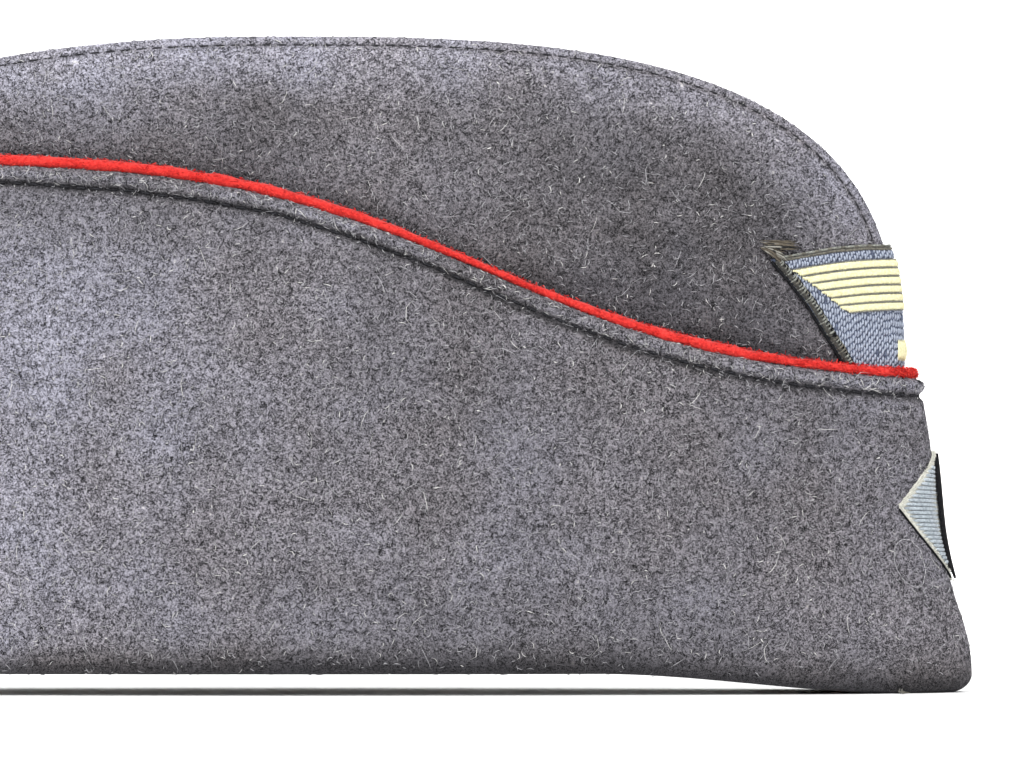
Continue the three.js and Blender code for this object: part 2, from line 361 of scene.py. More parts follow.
def wool_material(name, dark, mid, light, toned=True):
    """Milled wool: mottled cloth with curled fibres lying every way, and painted shade in its hollows. A toned
    piece has its own tone attribute, for painted light and shade and random mottling, with a painted sheen
    that tints it bluer where lighter and warmer where darker."""
    material, tree, shader = material_tree(name)
    vector = places(tree)
    cloud = noise(tree, vector, 0.035, 3.0, 0.5)
    patch = noise(tree, vector, 0.80, 3.0, 0.65)
    grain = noise(tree, vector, 2.35, 2.5, 0.75)
    pale = curls(tree, 1.35, 3.1, 0.035)
    for scale, seed in ((1.7, 11.3), (2.1, 23.9), (1.5, 37.7)):
        pale = maths(tree, "MAXIMUM", pale, curls(tree, scale, seed, 0.035))
    deep = maths(tree, "MAXIMUM", curls(tree, 1.6, 51.1, 0.04), curls(tree, 2.0, 67.3, 0.04))
    lint = ramp(tree, noise(tree, vector, 0.8, 1.0, 0.3), (0.79, 0.0), (0.81, 1.0))
    body = weighed(tree, (grain, 0.62), (patch, 0.30), (cloud, 0.08))
    colour = ramp(tree, body, (0.440, dark), (0.50, mid), (0.568, light))
    bright = tuple(c * 1.6 for c in light)
    for cover, share, over in ((deep, 0.7, dark), (pale, 0.72, bright), (lint, 0.6, (0.55, 0.53, 0.52))):
        colour = blend_colour(tree, maths(tree, "MULTIPLY", cover, share), colour, over)
    tints = [ramp(tree, cloud, (0.38, (1.02, 1.0, 0.985)), (0.62, (0.98, 0.995, 1.035)))]
    if toned:
        # the tone attribute: painted light and shade, and random mottling; the ramp on it is a painted sheen
        tone = node(tree, "ShaderNodeAttribute", attribute_name="tone").outputs["Fac"]
        share = maths(tree, "MULTIPLY", tone, 0.5)
        tints += [ramp(tree, share, (0.32, (1.025, 1.0, 0.97)), (0.72, (0.98, 0.99, 1.03))), tone]
    for tint in tints:
        colour = blend_colour(tree, 1.0, colour, tint, "MULTIPLY")
    # the grain that darkens the colour also lowers the relief: painted shade in its hollows
    height = weighed(tree, (grain, 0.6), (pale, 0.25))
    feed(tree, shader, {"Base Color": colour, "Roughness": spread(tree, grain, 0.85, 1.0),
                        "Normal": bump(tree, height, 0.7), "Sheen Weight": 0.12, "Sheen Roughness": 0.5,
                        "Sheen Tint": (0.78, 0.78, 0.86), "Specular IOR Level": 0.12})
    return material


def felt_material(name, dark, mid, light):
    """A finer, plainer wool for the piping."""
    material, tree, shader = material_tree(name)
    vector = places(tree)
    grain = noise(tree, vector, 1.8, 4.0, 0.7)
    body = weighed(tree, (grain, 0.7), (noise(tree, vector, 0.25), 0.3))
    feed(tree, shader, {"Base Color": ramp(tree, body, (0.36, dark), (0.5, mid), (0.64, light)),
                        "Normal": bump(tree, grain, 0.3, 0.8), "Roughness": 0.92, "Sheen Weight": 0.2,
                        "Specular IOR Level": 0.15})
    return material


def thread_material(name, dark, light, pitch=0.5, roughness=0.7, sheen=0.15):
    """Thread or satin stitch: fine, slightly uneven colour and twist."""
    material, tree, shader = material_tree(name)
    grain = noise(tree, places(tree), 1.0 / pitch, 3.0, 0.6)
    feed(tree, shader, {"Base Color": ramp(tree, grain, (0.35, dark), (0.65, light)),
                        "Normal": bump(tree, grain, 0.12, 0.7), "Roughness": roughness, "Sheen Weight": sheen,
                        "Specular IOR Level": 0.3 if sheen else 0.08})
    return material


def plain_material(name, colour, roughness=0.9):
    material, tree, shader = material_tree(name)
    feed(tree, shader, {"Base Color": colour, "Roughness": roughness, "Specular IOR Level": 0.2})
    return material


def weave_material(name, warp, weft, pitch, roughness=0.6, sheen=0.2):
    """Plain woven cloth: threads going over and under each other."""
    material, tree, shader = material_tree(name)
    inputs = {"Scale": 0.314 / pitch, "Distortion": 0.6, "Detail": 1.0, "Detail Scale": 2.0}
    waves = [node(tree, "ShaderNodeTexWave", {"Vector": places(tree), **inputs}, wave_type="BANDS",
                  bands_direction=direction).outputs["Fac"] for direction in ("X", "Z")]
    over = maths(tree, "MULTIPLY", *waves)
    shade = ramp(tree, noise(tree, places(tree), 0.3, 3.0, 0.6), (0.3, 0.8), (0.7, 1.15))
    colour = blend_colour(tree, 1.0, blend_colour(tree, over, warp, weft), shade, "MULTIPLY")
    feed(tree, shader, {"Base Color": colour, "Normal": bump(tree, over, 0.12, 0.7), "Roughness": roughness,
                        "Sheen Weight": sheen})
    return material


def leather_material(name, dark, light):
    material, tree, shader = material_tree(name)
    vector = places(tree)
    cells = node(tree, "ShaderNodeTexVoronoi", {"Vector": vector, "Scale": 0.9}, feature="DISTANCE_TO_EDGE")
    creases = ramp(tree, cells.outputs["Distance"], (0.0, 0.0), (0.12, 1.0))
    tone = noise(tree, vector, 0.06, 4.0, 0.6)
    colour = ramp(tree, tone, (0.35, dark), (0.65, light))
    worn = blend_colour(tree, maths(tree, "MULTIPLY", creases, 0.25), colour, tuple(c * 1.5 for c in light))
    feed(tree, shader, {"Base Color": worn, "Roughness": spread(tree, tone, 0.42, 0.62),
                        "Normal": bump(tree, creases, 0.08, 0.6)})
    return material


def plain_set(**colours):
    return [plain_material(name, colour) for name, colour in colours.items()]


WOOL = wool_material("wool", (0.010, 0.0095, 0.011), (0.091, 0.0875, 0.097), (0.305, 0.293, 0.323))
WOOL_INNER = wool_material("wool_inner", (0.024, 0.023, 0.026), (0.085, 0.083, 0.092), (0.20, 0.20, 0.215),
                           False)
RED = felt_material("red_wool", (0.34, 0.010, 0.009), (0.56, 0.022, 0.018), (0.74, 0.050, 0.040))
CREAM = thread_material("cream_thread", (0.62, 0.58, 0.33), (0.82, 0.79, 0.53), 0.4, 0.6)
IVORY = thread_material("ivory_thread", (0.42, 0.42, 0.37), (0.68, 0.67, 0.60), 0.4, 0.8)
TWILL = thread_material("twill_thread", (0.22, 0.245, 0.31), (0.38, 0.42, 0.51), 0.45, 0.7)
TWILL_DARK = thread_material("twill_dark_thread", (0.035, 0.045, 0.075), (0.13, 0.155, 0.23), 0.45, 0.7)
OVERCAST_PALE = thread_material("overcast_pale_thread", (0.075, 0.078, 0.068), (0.30, 0.31, 0.28), 0.35)
DARK_LINE = thread_material("dark_line_thread", (0.10, 0.10, 0.10), (0.22, 0.22, 0.20), 0.4)
OVERCAST = thread_material("overcast_thread", (0.030, 0.028, 0.024), (0.16, 0.15, 0.12), 0.35)
BORDER_DARK = thread_material("border_dark_thread", (0.012, 0.012, 0.011), (0.06, 0.058, 0.05), 0.35)
PALE_RIB = thread_material("pale_rib_thread", (0.20, 0.23, 0.26), (0.44, 0.49, 0.53), 0.5, 0.7)
BLACK = thread_material("black_thread", (0.004, 0.004, 0.005), (0.014, 0.014, 0.016), 0.5, 0.85, 0.0)
STITCH = thread_material("seam_thread", (0.010, 0.010, 0.012), (0.040, 0.040, 0.045), 0.35, 0.85, 0.0)
LINING = weave_material("lining_weave", (0.075, 0.085, 0.10), (0.15, 0.165, 0.19), 0.45)
CANVAS = weave_material("canvas_weave", (0.36, 0.32, 0.23), (0.55, 0.50, 0.38), 0.9, 0.85, 0.05)
LEATHER = leather_material("sweatband_leather", (0.075, 0.034, 0.016), (0.20, 0.10, 0.05))
FIBRES = plain_set(fibre_dark=(0.012, 0.012, 0.013), fibre_grey=(0.13, 0.126, 0.138),
                   fibre_light=(0.40, 0.395, 0.415), fibre_white=(0.68, 0.67, 0.66))
THREADS = plain_set(thread_brown=(0.10, 0.085, 0.065), thread_grey=(0.26, 0.25, 0.22),
                    thread_black=(0.02, 0.02, 0.02))
RED_FIBRES = plain_set(fibre_red=(0.62, 0.020, 0.016), fibre_bright_red=(0.90, 0.07, 0.05),
                       fibre_dark_red=(0.30, 0.008, 0.008))

# ---- crown
CROWN_GRID = 376, 130                        # columns and rows
SETTLE_X = np.linspace(-132.0, 132.0, 45)    # the grid on which the cloth settles
SETTLE_Z = np.linspace(44.0, 140.0, 17)
SETTLE_SCALE, SETTLE_FRAMES = 10.0, 24       # it settles ten times full size, where the solver is steady
SETTLE_LIMIT = 1.3                           # the most that settling moves the cloth
BADGE_CLEAR = 100.0                          # in front of this the cloth lies smooth under the badge
SEAM_SINK, SEAM_WIDTH = 0.25, 0.50           # how far the ridge seam sinks, and over what width
RIDGE_STITCH_DEPTH = 2.1                     # the ridge's topstitching, below the outline
LIFT_GAP = 0.03


def outline_depth(x, z):
    """Distance from the crown's outline, in the middle plane."""
    ox, oz = outline(np.linspace(0.1, 0.9, 700))
    depth = np.full(x.shape, 1e9)
    for start in range(0, len(ox), 100):
        dx = x[..., None] - ox[start:start + 100]
        dz = z[..., None] - oz[start:start + 100]
        depth = np.minimum(depth, np.sqrt(dx * dx + dz * dz).min(axis=-1))
    return depth


def crown_plan(shrink, columns, rows, fine_share=0.86, fine_reach=0.55, tilt=2.0):
    """(x, z) of a grid that fans out from the lower edge to the outline, finest along the outline."""
    w = 1 - np.linspace(0, 1, rows)[None, :]
    down = np.where(w < fine_share, fine_reach * (w / fine_share) ** tilt,
                    mix(fine_reach, 1.0, (w - fine_share) / (1 - fine_share)))
    ox, oz = outline(np.linspace(0, 1, columns)[:, None])
    top_x, top_z = ox * shrink, OUTLINE_CENTRE + (oz - OUTLINE_CENTRE) * shrink
    foot_x = top_x * 0.5
    x = mix(top_x, foot_x, down)
    return x, np.maximum(mix(top_z, lower_edge(foot_x) + HEM, down), lower_edge(x) + HEM)


def sag(x, z, side):
    """The cloth's soft hollows and swells, which fade out towards the ridge."""
    seed = 10 if side == RIGHT else 40
    free = smooth((HEIGHT - z) / 30.0) * smooth((BADGE_CLEAR - x) / 20.0)
    return free * (0.35 * ripple(x, z, 75.0, seed) + 0.15 * ripple(x, z, 24.0, seed + 1))


def settled(side):
    """The crown's cloth let go, a little slack and held at its seams: how far outwards each point of
    the settling grid comes to rest."""
    x, z = np.meshgrid(SETTLE_X, SETTLE_Z, indexing="ij")
    y = side * side_reach(x, z)
    start = SETTLE_SCALE * np.stack([x, y, z], axis=-1)
    cloth = new_object("settling_cloth", start.reshape(-1, 3), grid_faces(*x.shape), [])
    held = (z < curtain_edge(x) - 8.0) | (outline_depth(x, z) < 5.0) | (np.abs(y) < 1.0)
    pins = cloth.vertex_groups.new(name="held")
    pins.add(np.flatnonzero(held.ravel()).tolist(), 1.0, "REPLACE")
    settings = cloth.modifiers.new("cloth", "CLOTH").settings
    settings.vertex_group_mass = "held"
    settings.quality = 8
    settings.mass = 0.3
    settings.tension_stiffness = settings.compression_stiffness = 30.0
    settings.shear_stiffness = 15.0
    settings.bending_stiffness = 5.0
    settings.shrink_min = -0.0012
    settings.effector_weights.gravity = 0.4
    scene = bpy.context.scene
    for step in range(1, SETTLE_FRAMES + 1):
        scene.frame_set(step)
    shape = cloth.evaluated_get(bpy.context.evaluated_depsgraph_get()).to_mesh()
    after = np.empty(3 * x.size)
    shape.vertices.foreach_get("co", after)
    scene.frame_set(1)
    bpy.data.objects.remove(cloth)
    out = side * (after.reshape(*x.shape, 3)[..., 1] / (MM * SETTLE_SCALE) - y)
    return SETTLE_LIMIT * np.tanh(out / SETTLE_LIMIT)


def knot_weights(t):
    """The weights of four knots in a row for a cubic B-spline, at t between the middle two."""
    return (1 - t) ** 3 / 6, (3 * t ** 3 - 6 * t ** 2 + 4) / 6, (3 * t * (1 + t - t * t) + 1) / 6, t ** 3 / 6


def settled_at(moves, x, z):
    """The settled moves, read smoothly at (x, z)."""
    i, j = (np.clip((v - knots[0]) / (knots[1] - knots[0]), 1, len(knots) - 2.001)
            for v, knots in ((x, SETTLE_X), (z, SETTLE_Z)))
    across, up = knot_weights(i % 1), knot_weights(j % 1)
    i, j = i.astype(int) - 1, j.astype(int) - 1
    return sum(across[a] * up[b] * moves[i + a, j + b] for a in range(4) for b in range(4))


def nap(x, z, seed):
    """The unevenness of the milled face."""
    return 0.055 * ripple(x, z, 6.5, seed) + 0.04 * ripple(x, z, 3.0, seed + 1)


def crown_point(x, z, side, reach):
    return np.stack([x, side * (reach + LIFT_GAP), z], axis=-1)


def crown_face(x, z, side, settle):
    """The crown's outer face, with the ridge seam and its topstitched channel."""
    reach = side_reach(x, z)
    channel = 0.24 * hump(outline_depth(x, z), RIDGE_STITCH_DEPTH, 0.45)
    swell = sag(x, z, side) + nap(x, z, 70 + side) + settle * smooth((BADGE_CLEAR - x) / 20.0)
    reach = np.maximum(reach + (swell - channel) * smooth(reach / 2.5), 0)
    return crown_point(*inwards(x, z, SEAM_SINK * hump(reach, 0, SEAM_WIDTH)), side, reach)


def crown_painted_light_and_mottling(x, z):
    """Painted light towards the ridge and painted shade towards the front, with random mottling; painted shade
    just above the piping, in the stitched channel and in one soft patch high on the crown.
    """
    depth = outline_depth(x, z)
    above = z - curtain_edge(x)
    # painted light towards the ridge, painted shade towards the front
    tone = 0.82 + 1.08 * hump(depth, 0, 10.5) - 0.36 * smooth((x - 25) / 70.0)
    tone += 0.15 * ripple(x, z, 60.0, 61) + 0.09 * ripple(x, z, 14.0, 62)
    # painted shade just above the piping, narrow and then broad
    tone *= 1 - 0.45 * hump(np.maximum(above - 1.0, 0), 0, 2.2)
    tone *= 1 - 0.20 * hump(np.maximum(above, 0), 0, 9.0)
    # a soft patch of painted shade high on the crown
    tone *= 1 - 0.34 * hump(x, -2.0, 11.0) * hump(z, 118.5, 6.5)
    # painted shade in the stitched channel
    return tone * (1 - 0.35 * hump(depth, RIDGE_STITCH_DEPTH, 0.6))


def crown_panel(side, word):
    x, z = crown_plan(1.0, *CROWN_GRID)
    outer = crown_face(x, z, side, settled_at(settled(side), x, z))
    inner_x, inner_z = crown_plan(0.988, *CROWN_GRID)
    inner = crown_point(inner_x, inner_z, side, side_reach(inner_x, inner_z, -1.4))
    obj = shell(f"crown_panel_{word}_cloth", outer, inner, [WOOL])
    set_tone(obj, crown_painted_light_and_mottling(x, z))
    return obj, outer


def lining(side, word):
    x, z = crown_plan(0.955, 220, 70, 0.8, 0.7, 1.3)
    waves = 0.35 * ripple(x, z, 34.0, 81 + side) * smooth((HEIGHT - z) / 40.0)
    outer = crown_point(x, z, side, side_reach(x, z, -1.75))
    inner = crown_point(x, z, side, np.maximum(side_reach(x, z, -2.35) - np.abs(waves), 0))
    return shell(f"lining_{word}_cloth", outer, inner, [LINING])


# ---- curtain
CURTAIN_COLUMNS = 420
PIPING_RADIUS = 1.04
LIP_CENTRE = 2.6             # below the piping's middle: the raised lip
GROOVE = 4.6                 # the topstitched groove
TOP_BAND = 9.0               # what is drawn at a fixed distance from the edge
LOZENGE_CLEAR = 118.0        # in front of this the cloth lies smooth under the badge


def band_point(turn, offset, z, side):
    """The point at angle turn (0 at the front) and height z on the surface offset out from the crown's."""
    x = (half_length(z, np.cos(turn) >= 0) + offset) * np.cos(turn)
    y = side * (np.maximum(half_width(z) + offset, 0) * np.sin(turn) + LIFT_GAP)
    return np.stack([x, y, z], axis=-1)


def nominal_x(turn):
    return FRONT_END["reach"] * np.cos(turn)


def turns(count, margin=0.0):
    """Angles from the rear to the front, closer together at the two ends."""
    t = np.linspace(0, 1, count)
    return mix(math.pi - margin, margin, t - 0.045 * np.sin(2 * math.pi * t) * 0.6)


def groove_depth(x):
    """How far below the piping the stitched groove runs; it wanders a little."""
    return GROOVE + 0.20 * ripple(x, 0 * x, 17.0, 133)


def curtain_section(turn, side):
    """Points (columns, rows, 3) of the curtain's closed section, and the count of rows on its outer face."""
    x = nominal_x(turn)
    low, edge = lower_edge(x), curtain_edge(x)
    parts = []

    def add(offset, z):
        parts.append(band_point(turn, offset, z, side))

    for a in np.linspace(0.30 * math.pi, -0.5 * math.pi, 9)[1:]:
        add(0.7 - 3.2 * math.cos(a), low + HEM + HEM * math.sin(a))
    for a in np.linspace(-0.5 * math.pi, 0.0, 11)[1:]:
        add(0.7 + 4.0 * math.cos(a), low + HEM + HEM * math.sin(a))
    for t in np.linspace(0, 1, 62)[1:]:
        z = mix(low + HEM, edge - TOP_BAND, t)
        swell = 0.45 * ripple(x, z, 80.0, 110 + side) + 0.18 * ripple(x, z, 22.0, 113 + side)
        swell *= smooth((LOZENGE_CLEAR - x) / 15.0)
        add(CLOTH_OUT + (swell + nap(x, z, 120 + side)) * smooth(min(t, 1 - t) * 10), z)
    for g in np.linspace(TOP_BAND, 0.9, 38)[1:]:
        lip = 0.55 * hump(g, LIP_CENTRE, 1.15)
        groove = hump(g, groove_depth(x), 0.70)
        turn_in = 1.5 * max(1.9 - g, 0) ** 1.6
        wander = 0.12 * ripple(x, x * 0 + g, 9.0, 131)
        add(CLOTH_OUT + lip - groove - turn_in + wander * smooth((TOP_BAND - g) / 3.0), edge - g)
    outer_rows = len(parts)
    for g, offset in ((0.75, 2.3), (1.2, 2.15), (3.0, 2.3), (8.0, 3.3)):
        add(offset, edge - g)
    for t in np.linspace(0, 1, 9)[1:]:
        add(3.3, mix(edge - TOP_BAND, low + 5.0, t))
    for offset, z in ((2.6, 3.2), (0.7, 2.6), (-1.0, 3.6)):
        add(offset, low + z)
    return np.stack(parts, axis=1), outer_rows


def curtain_painted_light_and_mottling(x, z):
    """Painted light to the rear, with painted shade under the top edge towards the rear, and random mottling;
    painted shade along the stitched groove, a painted highlight on the lip, and painted shade where the hem
    rolls under.
    """
    below = curtain_edge(x) - z
    # painted light to the rear, and painted shade under the top edge towards the rear
    tone = 0.98 + 0.60 * smooth((30 - x) / 90.0) - 0.66 * smooth((20 - x) / 50.0) * hump(below, 0, 19.0)
    tone += 0.14 * ripple(x, z, 62.0, 141) + 0.09 * ripple(x, z, 16.0, 142)
    # painted shade along the stitched groove
    tone *= 1 - 0.80 * hump(below, groove_depth(x), 0.95 + 0.25 * ripple(x, z, 4.0, 143))
    # painted highlight on the lip
    tone *= 1 + 0.25 * hump(below, LIP_CENTRE, 0.8)
    # painted shade where the hem rolls under
    return tone * (1 - 0.82 * hump(np.maximum(z - lower_edge(x), 0), 0, 5.0))


def curtain_outer(side, word):
    sections, outer_rows = curtain_section(turns(CURTAIN_COLUMNS), side)
    tone = curtain_painted_light_and_mottling(sections[..., 0], sections[..., 2])
    sink = hump(np.abs(sections[..., 1]), LIFT_GAP, 0.5) * 0.5
    sections[..., 0] -= np.sign(sections[..., 0]) * sink
    obj = bodies(f"curtain_outer_{word}_cloth", sections[None], [WOOL], flip=side == RIGHT)
    set_tone(obj, tone)
    return obj, sections[:, :outer_rows]


def band_grid(columns, rows, lift, margin=0.0):
    """Angles, low heights and shares of the height, on the grid of a band that starts lift above the hem."""
    turn = turns(columns, margin)[:, None]
    t = np.linspace(0, 1, rows)[None, :]
    turn, t = np.broadcast_arrays(turn, t)
    return turn, lower_edge(nominal_x(turn)) + HEM + lift, t


def curtain_facing(side, word):
    turn, low, t = band_grid(260, 26, 0.4)
    z = mix(low, curtain_edge(nominal_x(turn)) - 0.5, t)
    round_top = 0.5 * smooth((t - 0.97) / 0.03)
    outer = band_point(turn, 2.0 - round_top, z, side)
    inner = band_point(turn, 0.95 + round_top, z, side)
    return shell(f"curtain_facing_{word}_cloth", outer, inner, [WOOL_INNER])


def curtain_interlining(side, word):
    turn, low, t = band_grid(200, 20, 0.6)
    z = mix(low, curtain_edge(nominal_x(turn)) - 4.0, t)
    outer, inner = (band_point(turn, offset, z, side) for offset in (2.95, 2.35))
    return shell(f"curtain_interlining_{word}_canvas", outer, inner, [CANVAS])


# ---- piping, seams, sweatband
PIPING_OUT = 3.0
SWEATBAND_HEIGHT = 32.0
SEAM_THICKNESS = 0.5


def bead_radius(x):
    """The piping stands out less where the lip below it swells over it."""
    return PIPING_RADIUS * (1.12 - 0.40 * hump(x, 45.0, 22.0) - 0.28 * smooth((x - 92.0) / 14.0))


def piping():
    """One bead of folded red wool round the whole curtain, slightly uneven, as a closed ring."""
    count, sides = 900, 14
    turn = np.linspace(0, 2 * math.pi, count, endpoint=False)
    side = np.where(turn < math.pi, RIGHT, LEFT)
    upper = np.where(turn < math.pi, turn, 2 * math.pi - turn)
    centre = band_point(upper, PIPING_OUT, curtain_edge(nominal_x(upper)), 1)
    centre[:, 1] = (centre[:, 1] - LIFT_GAP) * side
    after = np.roll(centre, -1, axis=0)
    across, down = sideways(unit(after - np.roll(centre, 1, axis=0)), UP)
    walk = np.cumsum(np.linalg.norm(after - centre, axis=1))[:, None]
    k = np.arange(sides)
    swell = 1 + 0.17 * ripple(walk, k * 0.8, 8.0, 151) + 0.12 * ripple(walk, k * 2.0, 2.4, 152)
    radius = (bead_radius(centre[:, :1]) * swell)[..., None]
    bead = centre[:, None] + ring(across * 1.1, -down, sides) * radius
    faces = grid_faces(count + 1, sides, wrap=True) % (count * sides)
    return new_object("piping_bead", bead.reshape(-1, 3), faces, [RED]), centre


def seam_ribbon(name, line, depth):
    """A seam standing in the middle plane; line(d) gives its points (x, z) at a depth d inwards."""
    corners = []
    for y, d in ((0.5, 0.0), (0.5, depth), (-0.5, depth), (-0.5, 0.0)):
        x, z = line(d)
        corners.append(np.stack([x, np.full_like(x, y * SEAM_THICKNESS), z], axis=-1))
    return bodies(name, np.stack(corners, axis=1)[None], [WOOL_INNER])


def crown_seam():
    x, z = outline(np.linspace(0.03, 0.97, 420))
    return seam_ribbon("crown_ridge_seam_cloth", lambda d: inwards(x, z, 0.75 + d), 4.0)


def curtain_seam(sign, word):
    top = float(curtain_edge(sign * (FRONT_END if sign > 0 else REAR_END)["reach"])) - 2.2
    z = np.linspace(5.0, top, 60)
    reach = half_length(z, sign > 0) + CLOTH_OUT - 0.8
    return seam_ribbon(f"curtain_{word}_seam_cloth", lambda d: (sign * (reach - d), z), 2.2)


def sweatband(side, word):
    turn, low, t = band_grid(240, 30, 0.2, 0.10)
    z = low + SWEATBAND_HEIGHT * t
    edge = smooth((t - 0.94) / 0.06) * 0.45
    relaxed = 0.35 * ripple(nominal_x(turn), z, 60.0, 171 + side) * smooth(t * 2)
    outer = band_point(turn, -2.9 - edge, z, side)
    inner = band_point(turn, -4.2 + edge - np.abs(relaxed), z, side)
    return shell(f"sweatband_{word}_leather", outer, inner, [LEATHER])


# ---- seam stitches
STITCH_LENGTH = 2.3


def stitch_row(name, path, gap, radius):
    """Stitches of sewing thread along a dense line of points."""
    walk = walked(path)
    at = np.arange(0, walk[-1] - STITCH_LENGTH, STITCH_LENGTH + gap)
    starts, ends = (np.stack([np.interp(d, walk, path[:, k]) for k in range(3)], axis=1)
                    for d in (at, at + STITCH_LENGTH))
    return stitches(name, starts, ends, radius, [STITCH])


def ridge_topstitch(side, word):
    x, z = inwards(*outline(np.linspace(0.2, 0.82, 900)), RIDGE_STITCH_DEPTH)
    reach = side_reach(x, z)
    y = side * (reach + sag(x, z, side) * smooth(reach / 2.5) - 0.22)
    return stitch_row(f"ridge_topstitch_{word}", np.stack([x, y, z], axis=-1), 0.9, 0.21)


def curtain_topstitch(side, word):
    turn = np.linspace(math.pi, 0.0, 1400)
    z = curtain_edge(nominal_x(turn)) - groove_depth(nominal_x(turn))
    return stitch_row(f"curtain_topstitch_{word}", band_point(turn, CLOTH_OUT - 0.66, z, side), 1.0, 0.28)


# ---- the two cloth badges
PATCH_TOP, PATCH_TOP_HALF, PATCH_BOTTOM_HALF = 91.7, 26.8, 13.6
PATCH_DROOP = 0.0042                 # its level lines fall by this times the distance out, squared
PATCH_LOW = float(curtain_edge(np.array(FRONT_END["reach"] - PATCH_BOTTOM_HALF))) + 0.9
PATCH_OUT = 0.75                     # the patch's ground, out from the crown
PATCH_SLANT = PATCH_LOW, PATCH_TOP, PATCH_BOTTOM_HALF, PATCH_TOP_HALF
FIELD_LOW, FIELD_HIGH, FIELD_BARS = 78.4, 88.9, 6
FIELD_SLANT = FIELD_LOW, FIELD_HIGH, 13.4, 23.8
BAR_PITCH = (FIELD_HIGH - FIELD_LOW) / FIELD_BARS
LOZENGE_MIDDLE, LOZENGE_HALF_HEIGHT, LOZENGE_HALF_WIDTH = 36.2, 13.3, 10.8
LOZENGE_LOW, LOZENGE_HIGH = LOZENGE_MIDDLE - LOZENGE_HALF_HEIGHT, LOZENGE_MIDDLE + LOZENGE_HALF_HEIGHT
LOZENGE_CORNER = 38.2                # height of its side corners
LOZENGE_OUT = 4.9
LOZENGE_EDGE = 0.8
BAR_HALF_WIDTH = 2.3
POINT_SHARE = 0.05                   # the share of its width left at the lozenge's upper and lower points
MEASURED_OUT = 1.0                   # lengths along the cloth are taken this far out from the crown


def wrapped(distance, z, offset):
    """The point at a distance along the cloth from the middle of the front, at height z and out by offset."""
    distance, z, offset = np.broadcast_arrays(*(np.asarray(v, float) for v in (distance, z, offset)))
    d, h, o = distance.ravel(), z.ravel(), offset.ravel()
    a, b = half_length(h, True), half_width(h)
    t = np.linspace(0, 0.62 * math.pi, 700)
    middle = 0.5 * (t[1:] + t[:-1])
    long, wide = (a + MEASURED_OUT)[:, None], (b + MEASURED_OUT)[:, None]
    steps = np.hypot(long * np.sin(middle), wide * np.cos(middle))
    walk = np.concatenate([np.zeros((len(d), 1)), np.cumsum(steps * t[1], axis=1)], axis=1)
    k = np.clip((walk < np.abs(d)[:, None]).sum(axis=1), 1, len(t) - 1)
    rows = np.arange(len(d))
    share = (np.abs(d) - walk[rows, k - 1]) / (walk[rows, k] - walk[rows, k - 1])
    turn = np.sign(d) * mix(t[k - 1], t[k], share)
    return np.stack([(a + o) * np.cos(turn), (b + o) * np.sin(turn), h], axis=-1).reshape(*distance.shape, 3)


def drooped(distance, z, offset):
    """As wrapped, but falling away to the sides as the patch does."""
    return wrapped(distance, z - PATCH_DROOP * np.asarray(distance) ** 2, offset)


def half_at(z, slant):
    """How far a shape with slanted sides reaches to each side at height z."""
    low, high, low_half, high_half = slant
    return mix(low_half, high_half, (z - low) / (high - low))


def foot_at(half, slant):
    """The height at which it reaches half to each side."""
    low, high, low_half, high_half = slant
    return mix(low, high, (half - low_half) / (high_half - low_half))


def patch_half(z):
    return half_at(z, PATCH_SLANT)


def lozenge_half(z, shrink=0.0):
    top, bottom = LOZENGE_HIGH - shrink, LOZENGE_LOW + shrink
    share = np.minimum((top - z) / (top - LOZENGE_CORNER), (z - bottom) / (LOZENGE_CORNER - bottom))
    return (LOZENGE_HALF_WIDTH - shrink) * np.maximum(share, POINT_SHARE)


def cloth_plate(name, low, high, half, inner, outer, material, place):
    """A thin piece of cloth wrapped round the front, half(z) to each side of the middle."""
    u = np.linspace(-1, 1, 90)[:, None]
    u = np.sign(u) * np.abs(u) ** 1.4
    z = mix(low, high, np.linspace(0, 1, 40))[None, :] + 0 * u
    return shell(name, place(u * half(z), z, outer), place(u * half(z), z, inner), [material])


def sewn(name, rows, offset, radius, materials, rise=0.15, index=None, rings=5, sides=6, place=wrapped):
    """Stitches on the wrapped cloth, each given as (d0, z0, d1, z1), from (d0, z0) to (d1, z1)."""
    d0, z0, d1, z1 = np.transpose(rows)
    starts, ends = place(d0, z0, offset), place(d1, z1, offset)
    lift = place(0.5 * (d0 + d1), 0.5 * (z0 + z1), offset + rise) - 0.5 * (starts + ends)
    return stitches(name, starts, ends, radius, materials, lift, rings, sides, index)


def twill_spans(d):
    """The stretches of height that the twill covers at a distance d from the middle, round the field."""
    low = max(PATCH_LOW - 0.8, foot_at(abs(d) + 1.0, PATCH_SLANT))
    field = max(FIELD_LOW, foot_at(abs(d) + 0.1, FIELD_SLANT))
    high = PATCH_TOP - 0.9
    return [(low, high)] if field >= FIELD_HIGH else [(low, field), (FIELD_HIGH, high)]


def patch_twill():
    """Upright columns of short, slightly leaning stitches over the patch, each half a stitch off the last."""
    draw = np.random.default_rng(301)
    rows, index = [], []
    pitch, length, gap, lean, shortest = 0.57, 1.45, 0.06, 0.17, 0.4
    for n, d in enumerate(np.arange(-PATCH_TOP_HALF, PATCH_TOP_HALF, pitch)):
        for low, high in twill_spans(d):
            z = low - length * (0.25 + 0.5 * (n % 2) + draw.uniform(-0.12, 0.12))
            while z < high - shortest:
                end = min(z + length * draw.uniform(0.88, 1.12), high)
                start = max(z, low)
                if end - start > shortest:
                    rows.append((d, start, d + lean * (end - start), end))
                    index.append(int(draw.random() < 0.07))
                z = end + gap
    return sewn("patch_ground_twill", rows, PATCH_OUT + 0.36, 0.245, [TWILL, TWILL_DARK], 0.14, index,
                place=drooped)


